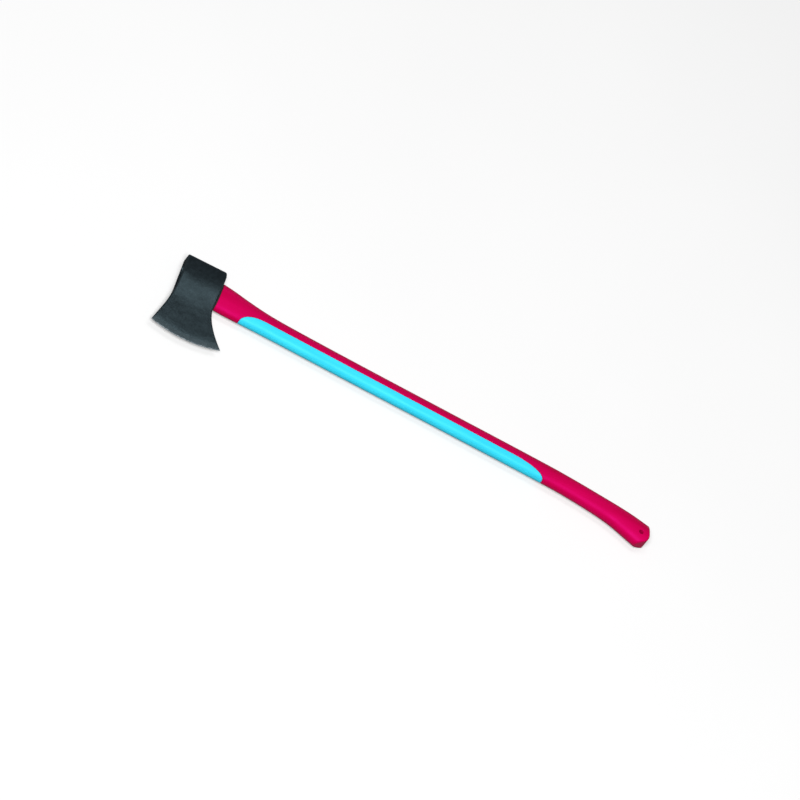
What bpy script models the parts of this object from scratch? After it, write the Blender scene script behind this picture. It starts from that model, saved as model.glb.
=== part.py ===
"""Long-handled fire axe, modelled as the six pieces that it is assembled from.

For Blender 4.5, in metres with +Z up. The axe lies on its side: +X runs along the handle from the
head to the knob, -Y from the poll (the flat striking face) to the bit (the cutting edge), and Z is
the thickness. The dimensions below are in millimetres: x is measured along the handle from the top
of the eye, and depth from the poll towards the bit.
"""

import math

import bmesh
import bpy
from mathutils import Matrix, Vector

MM = 0.001
GAP = 0.3                  # clearance between pieces that touch or nest

# Head: a forged wedge, thickest across the eye and drawn out to a flared, curved bit
TOE = (-13.4, 143.0)       # upper end of the cutting edge, as x and depth
HEEL = (113.0, 136.2)      # lower end of the cutting edge
BIT_RADIUS = 198.0
# Top edge of the head: depth and x, hollow over the eye and rising to the toe
TOP_EDGE = [(0.0, 0.8), (20.0, 1.9), (50.0, 2.4), (75.0, 1.8), (100.0, -2.4), (122.0, -7.9), TOE[::-1]]
SHOULDER = 74.0            # x of the head's flat underside, where the handle's shoulder sits
POLL_RISE = 2.4            # how much the underside rises at the poll
POLL_RISE_DEPTH = 14.0
BEARD_START = 72.0         # depth where the lower edge starts to sweep down to the heel
BEARD_POWER = 1.75
POLL_STEP = 0.7            # how far the poll stands out at the top of the eye
POLL_SLOPE = 0.028         # and how much further for each unit of x
POLL_ROUNDING = 2.5
CHEEK_ROUNDING = 2.2
# Share of the way from the poll to the bit, and the half thickness there
HEAD_THICKNESS = [
    (0.00, 12.0),
    (0.09, 14.0),
    (0.19, 15.0),
    (0.27, 14.7),
    (0.36, 12.9),
    (0.46, 10.2),
    (0.56, 7.9),
    (0.66, 6.4),
    (0.80, 4.7),
    (0.93, 2.9),
    (1.00, 0.4),
]
HALF_THICKNESS = 15.0      # half of the head's greatest thickness
HEAD_SHARES = [
    0.02, 0.05, 0.09, 0.14, 0.19, 0.23, 0.27, 0.31, 0.36, 0.41, 0.46, 0.52, 0.59, 0.66, 0.75, 0.84, 0.93, 0.97, 1.0,
]
HEAD_FACE_POINTS = 13      # points across each cheek
CORNER_POINTS = 4          # points round each corner of a section

# Eye: an oval hole that tapers towards the handle, so that the bonded tongue is locked in
EYE_DEPTH = 42.0           # depth of the eye's centre
EYE_MOUTH = (25.5, 10.2)   # half length and half width at the handle's end
EYE_TOP = (26.5, 10.65)
TONGUE = (23.0, 8.0)       # half length and half width of the handle inside the eye
TONGUE_END = 6.0
RESIN_END = 5.6
SEAL = (27.2, 12.5)
SEAL_THICKNESS = 1.2

# Handle: x, depth of the back, half depth and half width of the oval section
NECK_FACE = SHOULDER + GAP + SEAL_THICKNESS + GAP
HANDLE_STATIONS = [
    (NECK_FACE, 14.4, 27.6, 13.0),
    (98.0, 17.2, 26.3, 12.9),
    (125.0, 21.9, 23.6, 12.8),
    (165.0, 27.0, 20.6, 12.6),
    (215.0, 29.0, 19.4, 12.5),
    (330.0, 30.1, 18.7, 12.5),
    (500.0, 30.1, 18.2, 12.5),
    (700.0, 30.3, 17.9, 12.5),
    (750.0, 32.0, 17.9, 12.8),
    (804.0, 35.2, 18.7, 13.5),
    (831.0, 37.0, 20.2, 14.1),
    (858.0, 39.8, 22.7, 14.7),
    (878.0, 43.0, 24.0, 15.0),
    (902.0, 47.0, 25.0, 15.0),
]
RINGS_PER_STATION = 3
HALF_RING_POINTS = 14
OVERMOULD_WALL = 2.3
JACKET_END = 866.0
# Planes that trim the knob, each through a point with its outward direction, as x and depth
KNOB_CUTS = [
    ((894.7, 71.0), (0.982, 0.191)),
    ((894.7, 71.0), (0.969, -0.246)),
    ((876.5, 90.8), (0.57, 0.822)),
]
KNOB_EDGE_RADIUS = 1.8
KNOB_EDGE_FROM = 870.0
HANGING_HOLE = (878.0, 69.5)
HANGING_HOLE_RADIUS = 3.75

# Window in the overmould, where the jacket shows on the belly side
WINDOW_FRONT = 121.5
WINDOW_FRONT_LENGTH = 43.5
WINDOW_FRONT_TIP = 69.0
WINDOW_REAR = 692.6
WINDOW_REAR_LENGTH = 64.6
WINDOW_REAR_TIP = 65.5
WINDOW_EDGE = 49.7
WINDOW_BEYOND = 85.0
WINDOW_ARC_POINTS = 10

# Core rod: a straight bar, tilted slightly so that it stays inside the handle
ROD_HALF = (10.5, 6.5)
ROD_START = (5.8, 43.5)
ROD_STOP = (800.0, 50.8)
ROD_SIDES = 28

OVAL_SIDES = 40


def clear_scene():
    """Remove every object of the start-up scene."""
    for obj in list(bpy.data.objects):
        bpy.data.objects.remove(obj, do_unlink=True)


def add_collection(name):
    """Make a collection in the scene."""
    collection = bpy.data.collections.new(name)
    bpy.context.scene.collection.children.link(collection)
    return collection


def principled(name, srgb, roughness, metallic=0.0):
    """Make a plain Principled BSDF material from an sRGB colour of 0 to 255."""
    material = bpy.data.materials.new(name)
    material.use_nodes = True
    linear = [(channel / 255.0) ** 2.2 for channel in srgb]
    shader = material.node_tree.nodes["Principled BSDF"]
    shader.inputs["Base Color"].default_value = (*linear, 1.0)
    shader.inputs["Roughness"].default_value = roughness
    shader.inputs["Metallic"].default_value = metallic
    material.diffuse_color = (*linear, 1.0)
    return material


def place(obj, name, collection, x=0.0, depth=0.0):
    """Name an object, move it to its collection and put it at x and depth on the axe."""
    obj.name = name
    obj.data.name = name
    for owner in list(obj.users_collection):
        owner.objects.unlink(obj)
    collection.objects.link(obj)
    obj.parent = bpy.data.objects["axe_frame"]
    obj.location = (x * MM, -depth * MM, 0.0)
    return obj


def make_cutter(obj):
    """Keep a cutting body out of the render."""
    obj.hide_render = True
    obj.display_type = 'WIRE'
    return obj


def shade(obj, material):
    """Give an object its material and smooth faces."""
    obj.data.materials.clear()
    obj.data.materials.append(material)
    for face in obj.data.polygons:
        face.use_smooth = True


def boolean(obj, operation, other):
    """Add a Boolean modifier that uses another object."""
    modifier = obj.modifiers.new(f"{operation.lower()} {other.name}", 'BOOLEAN')
    modifier.operation = operation
    modifier.object = other
    modifier.solver = 'EXACT'


def smooth_value(stations, position):
    """Read the columns of a station table at a position, on a cubic through its rows."""
    last = len(stations) - 2
    index = 0
    while index < last and position > stations[index + 1][0]:
        index += 1
    start, stop = stations[index], stations[index + 1]
    before = stations[max(index - 1, 0)]
    after = stations[min(index + 2, last + 1)]
    span = stop[0] - start[0]
    t = (position - start[0]) / span
    values = []
    for column in range(1, len(start)):
        slope_in = (stop[column] - before[column]) / (stop[0] - before[0])
        slope_out = (after[column] - start[column]) / (after[0] - start[0])
        values.append(
            (2 * t**3 - 3 * t**2 + 1) * start[column]
            + (t**3 - 2 * t**2 + t) * span * slope_in
            + (3 * t**2 - 2 * t**3) * stop[column]
            + (t**3 - t**2) * span * slope_out
        )
    return values


def loft(half_rings):
    """Skin a list of half rings, each a list of (x, depth, z) with z above 0, mirrored to -z."""
    mesh = bpy.data.meshes.new("loft")
    body = bmesh.new()
    rings = []
    for half in half_rings:
        upper = [body.verts.new((x * MM, -depth * MM, z * MM)) for x, depth, z in half]
        lower = [body.verts.new((x * MM, -depth * MM, -z * MM)) for x, depth, z in half]
        rings.append(upper + lower[::-1])
    count = len(rings[0])
    for ring, following in zip(rings, rings[1:]):
        for i in range(count):
            j = (i + 1) % count
            body.faces.new((ring[i], ring[j], following[j], following[i]))
    for ring in (rings[0], rings[-1]):
        for i in range(count // 2 - 1):
            body.faces.new((ring[i], ring[i + 1], ring[count - 2 - i], ring[count - 1 - i]))
    bmesh.ops.recalc_face_normals(body, faces=body.faces)
    body.to_mesh(mesh)
    body.free()
    return bpy.data.objects.new("loft", mesh)


def bit_depth(share_down):
    """Depth of the cutting edge, from 0 at the toe to 1 at the heel, on its arc."""
    toe, heel = Vector(TOE), Vector(HEEL)
    chord = heel - toe
    outward = Vector((-chord.y, chord.x)).normalized()
    centre = (toe + heel) / 2 - outward * math.sqrt(BIT_RADIUS**2 - (chord.length / 2) ** 2)
    x = toe.x + chord.x * share_down
    return centre.y + math.sqrt(BIT_RADIUS**2 - (x - centre.x) ** 2)


def underside(depth):
    """x of the head's lower edge: it rises a little at the poll and sweeps down to the heel."""
    rise = POLL_RISE * max(0.0, 1 - depth / POLL_RISE_DEPTH) ** 2
    sweep = max(0.0, (depth - BEARD_START) / (HEEL[1] - BEARD_START)) ** BEARD_POWER
    return SHOULDER - rise + (HEEL[0] - SHOULDER) * sweep


def head_half_ring(share, inset=0.0):
    """Half of a section through the head, a share of the way from the poll to the bit."""
    top = smooth_value(TOP_EDGE, share * TOE[1])[0] + inset
    bottom = underside(share * HEEL[1]) - inset
    half = min(smooth_value(HEAD_THICKNESS, share)[0], HALF_THICKNESS) - inset
    radius = min(CHEEK_ROUNDING, 0.7 * half)
    corner = [math.pi / 2 * k / (CORNER_POINTS - 1) for k in range(CORNER_POINTS)]
    section = [(top + radius * (1 - math.cos(a)), half - radius * (1 - math.sin(a))) for a in corner]
    for k in range(1, HEAD_FACE_POINTS):
        section.append((top + radius + (bottom - top - 2 * radius) * k / HEAD_FACE_POINTS, half))
    section += [(bottom - radius * (1 - math.cos(a)), half - radius * (1 - math.sin(a))) for a in corner[::-1]]
    ring = []
    for x, z in section:
        to_bit = bit_depth((x - top) / (bottom - top))
        ring.append((x, share * to_bit - (1 - share) * (POLL_STEP + POLL_SLOPE * x), z))
    return ring


def oval(name, collection, half_sizes, x_from, x_to, depth, far_half_sizes=None, sides=OVAL_SIDES):
    """Oval bar along the handle, which can taper to other half sizes at its far end."""
    near = Vector(half_sizes)
    far = Vector(far_half_sizes or half_sizes)
    bpy.ops.mesh.primitive_cone_add(
        vertices=sides, radius1=1.0, radius2=far.x / near.x, depth=(x_to - x_from) * MM
    )
    obj = bpy.context.object
    turn = Matrix.Rotation(math.pi / 2, 4, 'Y')
    stretch = Matrix.Diagonal((1.0, near.x * MM, near.y * MM, 1.0))
    obj.data.transform(stretch @ turn)
    return place(obj, name, collection, (x_from + x_to) / 2, depth)


def build_head(parts, cutters):
    """Forged head: a wedge lofted from the poll to the bit, with the tapered eye cut through it."""
    rounding = []
    for k in range(CORNER_POINTS - 1):
        angle = math.pi / 2 * k / (CORNER_POINTS - 1)
        share = POLL_ROUNDING * (1 - math.cos(angle)) / TOE[1]
        rounding.append(head_half_ring(share, POLL_ROUNDING * (1 - math.sin(angle))))
    rings = rounding + [head_half_ring(share) for share in HEAD_SHARES]
    head = place(loft(rings), "axe_head", parts)
    margin = 20.0
    grow = (EYE_TOP[0] - EYE_MOUTH[0]) / SHOULDER * margin / EYE_MOUTH[0]
    near = [half * (1 + grow) for half in EYE_TOP]
    far = [half * (1 - grow) for half in EYE_MOUTH]
    eye = oval("eye_cutter", cutters, near, -margin, SHOULDER + margin, EYE_DEPTH, far)
    boolean(head, 'DIFFERENCE', make_cutter(eye))
    return head


def build_resin(parts, cutters):
    """Epoxy bond that fills the eye round the tongue."""
    outer_top = [half - GAP for half in EYE_TOP]
    outer_mouth = [half - GAP for half in EYE_MOUTH]
    resin = oval("eye_resin", parts, outer_top, RESIN_END, SHOULDER, EYE_DEPTH, outer_mouth)
    inner = [half + GAP for half in TONGUE]
    bore = oval("resin_bore_cutter", cutters, inner, -10.0, SHOULDER + 10.0, EYE_DEPTH)
    boolean(resin, 'DIFFERENCE', make_cutter(bore))
    return resin


def build_seal(parts, cutters):
    """Rubber ring between the head and the handle's shoulder, which dams the resin."""
    start = SHOULDER + GAP
    seal = oval("eye_seal", parts, SEAL, start, start + SEAL_THICKNESS, EYE_DEPTH)
    inner = [half + GAP for half in TONGUE]
    bore = oval("seal_bore_cutter", cutters, inner, start - 5.0, start + 5.0, EYE_DEPTH)
    boolean(seal, 'DIFFERENCE', make_cutter(bore))
    return seal


def build_rod(parts, cutters):
    """Straight glass-fibre rod, and the channel that it fills in the jacket."""
    start, stop = Vector(ROD_START), Vector(ROD_STOP)
    run = stop - start
    tilt = -math.atan2(run.y, run.x)
    middle = (start + stop) / 2
    rod = oval("core_rod", parts, ROD_HALF, start.x, stop.x, middle.y, sides=ROD_SIDES)
    channel_half = [half + GAP for half in ROD_HALF]
    channel = oval("rod_channel_cutter", cutters, channel_half, start.x, stop.x + GAP, middle.y, sides=ROD_SIDES)
    open_end = oval("rod_mouth_cutter", cutters, channel_half, -30.0, start.x + 30.0, start.y, sides=ROD_SIDES)
    for obj in (rod, channel, open_end):
        obj.rotation_euler = (0.0, 0.0, tilt)
    return rod, make_cutter(channel), make_cutter(open_end)


def handle_half_ring(x, offset):
    """Half of the handle's oval section at x, shrunk all round by an offset."""
    back, half_depth, half_width = smooth_value(HANDLE_STATIONS, x)
    points = []
    for k in range(HALF_RING_POINTS):
        angle = math.pi * (k + 0.5) / HALF_RING_POINTS
        depth = back + half_depth - (half_depth - offset) * math.cos(angle)
        points.append((x, depth, (half_width - offset) * math.sin(angle)))
    return points


def handle_stops(x_from, x_to):
    """Positions of the handle's sections between two ends."""
    stops = [x_from]
    for start, stop in zip(HANDLE_STATIONS, HANDLE_STATIONS[1:]):
        for k in range(RINGS_PER_STATION):
            x = start[0] + (stop[0] - start[0]) * k / RINGS_PER_STATION
            if x_from + 1.0 < x < x_to - 1.0:
                stops.append(x)
    return stops + [x_to]


def handle_body(name, collection, offset, x_to, x_from=NECK_FACE):
    """Solid handle, shrunk all round by an offset, from the neck to x_to."""
    rings = [handle_half_ring(x, offset) for x in handle_stops(NECK_FACE, x_to)]
    if x_from < NECK_FACE:
        rings.insert(0, [(x_from, depth, z) for _, depth, z in rings[0]])
    return place(loft(rings), name, collection)


def trim_knob(obj):
    """Cut the knob's end to its three facets and round their edges."""
    body = bmesh.new()
    body.from_mesh(obj.data)
    for (x, depth), (along, deeper) in KNOB_CUTS:
        everything = body.verts[:] + body.edges[:] + body.faces[:]
        cut = bmesh.ops.bisect_plane(
            body, geom=everything, dist=1e-7, clear_outer=True,
            plane_co=(x * MM, -depth * MM, 0.0), plane_no=(along, -deeper, 0.0),
        )
        rim = [item for item in cut["geom_cut"] if isinstance(item, bmesh.types.BMEdge)]
        bmesh.ops.contextual_create(body, geom=rim)
    bmesh.ops.recalc_face_normals(body, faces=body.faces)
    sharp = []
    for edge in body.edges:
        near_end = all(vert.co.x > KNOB_EDGE_FROM * MM for vert in edge.verts)
        if near_end and edge.is_manifold and edge.calc_face_angle() > math.radians(7):
            if any(len(face.verts) > 4 for face in edge.link_faces):
                sharp.append(edge)
    bmesh.ops.bevel(body, geom=sharp, offset=KNOB_EDGE_RADIUS * MM, segments=3, profile=0.5, affect='EDGES')
    body.to_mesh(obj.data)
    body.free()


def window_cutter(name, cutters, inset):
    """Prism across the axe with the outline of the window, made smaller by an inset."""
    front = WINDOW_FRONT + inset
    rear = WINDOW_REAR - inset
    edge = WINDOW_EDGE + inset
    outline = [(front, WINDOW_BEYOND)]
    for k in range(WINDOW_ARC_POINTS + 1):
        angle = math.pi / 2 * k / WINDOW_ARC_POINTS
        x = front + WINDOW_FRONT_LENGTH * (1 - math.cos(angle))
        outline.append((x, WINDOW_FRONT_TIP - (WINDOW_FRONT_TIP - edge) * math.sin(angle)))
    for k in range(WINDOW_ARC_POINTS, -1, -1):
        angle = math.pi / 2 * k / WINDOW_ARC_POINTS
        x = rear - WINDOW_REAR_LENGTH * (1 - math.cos(angle))
        outline.append((x, WINDOW_REAR_TIP - (WINDOW_REAR_TIP - edge) * math.sin(angle)))
    outline.append((rear, WINDOW_BEYOND))

    curve = bpy.data.curves.new(name, 'CURVE')
    curve.dimensions = '2D'
    curve.fill_mode = 'BOTH'
    curve.extrude = 30.0 * MM
    spline = curve.splines.new('POLY')
    spline.points.add(len(outline) - 1)
    for point, (x, depth) in zip(spline.points, outline):
        point.co = (x * MM, -depth * MM, 0.0, 1.0)
    spline.use_cyclic_u = True
    drawn = bpy.data.objects.new(name, curve)
    cutters.objects.link(drawn)
    bpy.context.view_layer.update()
    mesh = bpy.data.meshes.new_from_object(drawn.evaluated_get(bpy.context.evaluated_depsgraph_get()))
    bpy.data.objects.remove(drawn, do_unlink=True)
    body = bmesh.new()
    body.from_mesh(mesh)
    bmesh.ops.remove_doubles(body, verts=body.verts, dist=1e-6)
    bmesh.ops.recalc_face_normals(body, faces=body.faces)
    body.to_mesh(mesh)
    body.free()
    return make_cutter(place(bpy.data.objects.new(name, mesh), name, cutters))


def build_jacket(parts, cutters, channel, open_end):
    """Moulded jacket round the rod: tongue, shaft, and the raised land that fills the window."""
    inner_offset = OVERMOULD_WALL + GAP
    jacket = handle_body("handle_jacket", parts, inner_offset, JACKET_END)
    tongue = oval("tongue_body", cutters, TONGUE, TONGUE_END, NECK_FACE + 6.0, EYE_DEPTH)
    land = handle_body("land_body", cutters, 0.0, HANDLE_STATIONS[-2][0])
    boolean(land, 'INTERSECT', window_cutter("land_outline", cutters, GAP))
    boolean(jacket, 'UNION', make_cutter(tongue))
    boolean(jacket, 'UNION', make_cutter(land))
    boolean(jacket, 'DIFFERENCE', channel)
    boolean(jacket, 'DIFFERENCE', open_end)
    return jacket


def build_overmould(parts, cutters):
    """Soft overmould: neck, spine, grip and knob, with the window and the hanging hole."""
    overmould = handle_body("grip_overmould", parts, 0.0, HANDLE_STATIONS[-1][0])
    trim_knob(overmould)
    cavity = handle_body("jacket_cavity_cutter", cutters, OVERMOULD_WALL, JACKET_END + GAP, NECK_FACE - 15.0)
    window = window_cutter("window_cutter", cutters, 0.0)
    bpy.ops.mesh.primitive_cylinder_add(vertices=24, radius=HANGING_HOLE_RADIUS * MM, depth=80.0 * MM)
    hole = place(bpy.context.object, "hanging_hole_cutter", cutters, *HANGING_HOLE)
    for cutter in (make_cutter(cavity), window, make_cutter(hole)):
        boolean(overmould, 'DIFFERENCE', cutter)
    return overmould


def main():
    """Build the axe on its frame, with the bounding box's bottom centre at the world's origin."""
    clear_scene()
    parts = add_collection("fire_axe")
    cutters = add_collection("cutters")
    frame = bpy.data.objects.new("axe_frame", None)
    parts.objects.link(frame)

    head = build_head(parts, cutters)
    resin = build_resin(parts, cutters)
    seal = build_seal(parts, cutters)
    rod, channel, open_end = build_rod(parts, cutters)
    jacket = build_jacket(parts, cutters, channel, open_end)
    overmould = build_overmould(parts, cutters)

    shade(head, principled("painted_steel", (56, 68, 74), 0.5, 0.2))
    shade(resin, principled("epoxy", (196, 170, 120), 0.35))
    shade(seal, principled("black_rubber", (22, 22, 24), 0.8))
    shade(rod, principled("glass_fibre", (214, 206, 176), 0.55))
    shade(jacket, principled("blue_polypropylene", (60, 226, 250), 0.4))
    shade(overmould, principled("red_elastomer", (203, 6, 64), 0.55))

    bpy.context.view_layer.update()
    corners = [piece.matrix_world @ Vector(corner) for piece in (head, overmould) for corner in piece.bound_box]
    low = Vector([min(corner[axis] for corner in corners) for axis in range(3)])
    high = Vector([max(corner[axis] for corner in corners) for axis in range(3)])
    frame.location = (-(low.x + high.x) / 2, -(low.y + high.y) / 2, -low.z)


main()
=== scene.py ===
"""Looks of the fire axe: finished meshes, procedural materials, floor, light and camera.

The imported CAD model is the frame. Every piece here stands for one CAD node and stays in its place.
Shapes are worked out in millimetres in the axe's own terms, as x along the handle from the top of
the eye, depth from the poll towards the bit, and z through the thickness. point() turns them into
the frame's metres.
"""

import math

import bmesh
import bpy
from mathutils import Euler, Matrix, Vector


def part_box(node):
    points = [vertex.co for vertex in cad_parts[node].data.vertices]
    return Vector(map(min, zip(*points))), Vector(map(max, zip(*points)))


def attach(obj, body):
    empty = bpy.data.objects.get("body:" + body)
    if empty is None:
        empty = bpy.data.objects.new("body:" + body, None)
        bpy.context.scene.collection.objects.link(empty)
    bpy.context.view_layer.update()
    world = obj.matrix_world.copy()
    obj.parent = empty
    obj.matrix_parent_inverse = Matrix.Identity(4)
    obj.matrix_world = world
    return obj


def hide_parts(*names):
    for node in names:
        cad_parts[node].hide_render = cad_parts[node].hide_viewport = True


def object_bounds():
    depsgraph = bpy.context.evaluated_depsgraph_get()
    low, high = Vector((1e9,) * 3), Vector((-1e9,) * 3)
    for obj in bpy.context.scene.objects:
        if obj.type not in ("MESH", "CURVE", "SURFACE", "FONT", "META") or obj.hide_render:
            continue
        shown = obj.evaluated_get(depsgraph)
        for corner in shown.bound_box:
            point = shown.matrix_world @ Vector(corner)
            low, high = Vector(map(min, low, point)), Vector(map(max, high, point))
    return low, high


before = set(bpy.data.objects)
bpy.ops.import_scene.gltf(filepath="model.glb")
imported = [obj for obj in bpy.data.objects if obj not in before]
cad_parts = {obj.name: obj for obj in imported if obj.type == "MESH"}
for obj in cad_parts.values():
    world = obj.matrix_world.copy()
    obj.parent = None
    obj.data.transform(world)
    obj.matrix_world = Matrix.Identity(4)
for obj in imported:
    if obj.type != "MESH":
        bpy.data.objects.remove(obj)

CAD_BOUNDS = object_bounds()
MM = 0.001
BODY = "root"
SHARP_ANGLE = math.radians(35)       # edges that turn by more than this are shaded sharp
CUT_SHARP_ANGLE = math.radians(40)   # the same, after a cut
RIM_STEPS = 6              # mesh steps round the rims of the eye, the knob and the hanging hole

# Head, with points as (x, depth)
TOE = (-13.4, 143.0)
HEEL = (113.0, 136.2)
BIT_RADIUS = 198.0
TOP_EDGE = [                # depth and x of the head's upper edge
    (0.0, 0.8),
    (20.0, 1.9),
    (50.0, 2.4),
    (75.0, 1.8),
    (100.0, -2.4),
    (122.0, -7.9),
    TOE[::-1],
]
SHOULDER = 74.0
POLL_RISE = 2.4
POLL_RISE_DEPTH = 14.0
BEARD_START = 72.0
BEARD_POWER = 1.75
POLL_STEP = 0.7
POLL_SLOPE = 0.028
POLL_ROUNDING = 2.5
CHEEK_ROUNDING = 2.2
HEAD_THICKNESS = [          # share of the way from poll to bit, and half thickness
    (0.00, 12.0),
    (0.09, 14.0),
    (0.19, 15.0),
    (0.27, 14.7),
    (0.36, 12.9),
    (0.46, 10.2),
    (0.56, 7.9),
    (0.66, 6.4),
    (0.80, 4.7),
    (0.93, 2.9),
    (1.00, 0.4),
]
HALF_THICKNESS = 15.0
HEAD_RINGS = 70
HEAD_RING_CROWDING = 1.25  # above 1 the rings stand closer together towards the bit
HEAD_FACE_POINTS = 48
CORNER_POINTS = 8
POLL_ROUNDING_RINGS = 6
POLL_ROUNDING_MARGIN = 0.5   # least distance from the poll's rounding to the first ring after it
EDGE_STONING = 0.1         # how far the cutting edge is stoned back
EDGE_ZONE = 20.0           # width of the zone that the bit's materials are laid out in

# Eye
EYE_DEPTH = 42.0
EYE_MOUTH = (25.5, 10.2)
EYE_TOP = (26.5, 10.65)
EYE_RIM_RADIUS = 0.9
EYE_CUTTER = (-15.0, SHOULDER + 10.0)   # where the body that cuts the eye starts and stops
TONGUE = (23.0, 8.0)
TONGUE_END = 6.0
TONGUE_ROUNDING = 0.7
TONGUE_ROUNDING_STEPS = 4
TONGUE_ROOT = 6.0          # how far the tongue reaches into the shaft
RESIN_END = 5.6
RESIN_DIP = 0.5            # how far the cured resin sinks between the walls that it wets
RESIN_CLEARANCE = 0.12     # gap between the resin's mesh and its neighbours
SEAL = (27.2, 12.5)
SEAL_THICKNESS = 1.2
SEAL_CLEARANCE = 0.05      # gap between the seal's mesh and each face beside it
SEAL_BULGE = 0.6
GAP = 0.3
OVAL_POINTS = 96
PROFILE_STEPS = 8          # mesh steps across the resin's top and the seal's outside

# Handle: x, depth of the back, half depth and half width
NECK_FACE = SHOULDER + GAP + SEAL_THICKNESS + GAP
HANDLE_STATIONS = [
    (NECK_FACE, 14.4, 27.6, 13.0),
    (98.0, 17.2, 26.3, 12.9),
    (125.0, 21.9, 23.6, 12.8),
    (165.0, 27.0, 20.6, 12.6),
    (215.0, 29.0, 19.4, 12.5),
    (330.0, 30.1, 18.7, 12.5),
    (500.0, 30.1, 18.2, 12.5),
    (700.0, 30.3, 17.9, 12.5),
    (750.0, 32.0, 17.9, 12.8),
    (804.0, 35.2, 18.7, 13.5),
    (831.0, 37.0, 20.2, 14.1),
    (858.0, 39.8, 22.7, 14.7),
    (878.0, 43.0, 24.0, 15.0),
    (902.0, 47.0, 25.0, 15.0),
]
OVERMOULD_WALL = 2.3
JACKET_END = 866.0
NECK_ROUNDING = 1.0
NECK_ROUNDING_STEPS = 5
ROW_STEP = 4.0             # spacing of the mesh rows along the handle
COLUMNS = 72               # mesh columns round the handle
KNOB_PEAK = (894.7, 71.0)  # where the two facets of the knob's end meet
KNOB_FACETS = [(0.982, 0.191), (0.969, -0.246)]   # the way that each facet faces
KNOB_CHAMFER_POINT = (876.5, 90.8)
KNOB_CHAMFER = (0.57, 0.822)   # the way that the trimmed corner at the belly faces
KNOB_CREASE = 1.2          # how softly the knob's facets run into each other
KNOB_ROUNDING = 2.2
KNOB_RINGS_FROM = 840.0
KNOB_EXTRA_ROWS = 4        # rows that the swelling grip gets beyond what ROW_STEP asks for
KNOB_SOLVER_ROUNDS = 12    # rounds that find where each mesh column meets the knob's end
KNOB_FACE_RINGS = 10
HANGING_HOLE = (878.0, 69.5)
HANGING_HOLE_RADIUS = 3.75
HANGING_HOLE_RIM = 1.0
HANGING_HOLE_SINK = 0.05   # how far below the surface its rounded rim starts
HANGING_HOLE_POINTS = 48
CUTTER_OVERHANG = 12.0     # how far the body that cuts the hole stands out of the knob

# Window in the overmould, and the lips on both sides of its edge
WINDOW_FRONT = 121.5
WINDOW_FRONT_LENGTH = 43.5
WINDOW_REAR = 692.6
WINDOW_REAR_LENGTH = 64.6
WINDOW_EDGE = 49.7         # depth of its edge along the handle's side
WINDOW_FRONT_SHARE = 0.2   # share of the outline's steps spent on the front's round end
WINDOW_REAR_SHARE = 0.75   # share of the steps after which the rear's round end starts
WINDOW_SAMPLES = 3000
WINDOW_GROOVE = 0.35
OVERMOULD_LIP = 0.55
LAND_LIP = 0.5
LIP_STEPS = 4
LAND_THICKNESS = 3.2
SHAFT_GAP = 0.45           # gap under the overmould, enough for its facets at the window's round ends
SHAFT_ROWS = 40
FAN = 9.0                  # how far the mesh rows spread ahead of the window's round ends

# Core rod
ROD_HALF = (10.5, 6.5)
ROD_START = (5.8, 43.5)
ROD_STOP = (800.0, 50.8)
ROD_POINTS = 48
ROD_CHAMFER = 0.4
ROD_CLEARANCE = 0.12       # gap round the rod, which keeps the two meshes apart
BORE_OVERHANG = 3.0        # how far the body that cuts the bore stands out of the tongue

# Camera and light
VIEW_AZIMUTH = -13.57
VIEW_ELEVATION = 53.28
VIEW_ROLL = 38.95
LENS = 600.0
SENSOR = 36.0
VIEW_WIDTH = 1.32          # metres that the picture spans at the axe
VIEW_AIM = (-0.0188, 0.0211, 0.0)   # what the camera looks at, from the middle of the axe
FLOOR_GLOW = 0.33          # light that the floor itself sends to the viewer
FLOOR_SIZE = 30.0
FLOOR_GAP = 0.0001         # how far the floor lies below the axe, so that the two don't share a plane


def read_frame():
    """Place of the axe's own zero point in the frame, from the seal that sits square on the handle."""
    low, high = (Vector(corner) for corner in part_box("eye_seal"))
    x = low.x - (SHOULDER + GAP) * MM
    y = (low.y + high.y) / 2 + EYE_DEPTH * MM
    return Vector((x, y, (low.z + high.z) / 2))


ORIGIN = read_frame()


def point(x, depth, z):
    """Place in the frame, in metres, of a point given in the axe's millimetres."""
    return ORIGIN + Vector((x, -depth, z)) * MM


# ---------------------------------------------------------------- shape helpers

def smooth_value(stations, position):
    """Read the columns of a station table at a position, on a cubic through its rows."""
    last = len(stations) - 2
    index = 0
    while index < last and position > stations[index + 1][0]:
        index += 1
    start, stop = stations[index], stations[index + 1]
    before = stations[max(index - 1, 0)]
    after = stations[min(index + 2, last + 1)]
    span = stop[0] - start[0]
    t = (position - start[0]) / span
    values = []
    for column in range(1, len(start)):
        slope_in = (stop[column] - before[column]) / (stop[0] - before[0])
        slope_out = (after[column] - start[column]) / (after[0] - start[0])
        values.append(
            (2 * t**3 - 3 * t**2 + 1) * start[column]
            + (t**3 - 2 * t**2 + t) * span * slope_in
            + (3 * t**2 - 2 * t**3) * stop[column]
            + (t**3 - t**2) * span * slope_out
        )
    return values


def soft_min(a, b, width):
    """Smaller of two values, rounded over where they are within a width of each other."""
    blend = max(width - abs(a - b), 0.0) / width
    return min(a, b) - blend * blend * width / 4


def quarter_round(steps):
    """Sines and cosines of a quarter turn, from flat on the surface to straight down."""
    return [(math.sin(math.pi / 2 * k / steps), math.cos(math.pi / 2 * k / steps)) for k in range(steps + 1)]


def skin(body, rows, closed):
    """Join rows of vertices, all of one length, with quads."""
    for row, following in zip(rows, rows[1:]):
        count = len(row)
        for i in range(count if closed else count - 1):
            j = (i + 1) % count
            corners = []
            for vert in (row[i], row[j], following[j], following[i]):
                if vert not in corners:
                    corners.append(vert)
            if len(corners) > 2:
                body.faces.new(corners)


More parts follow.
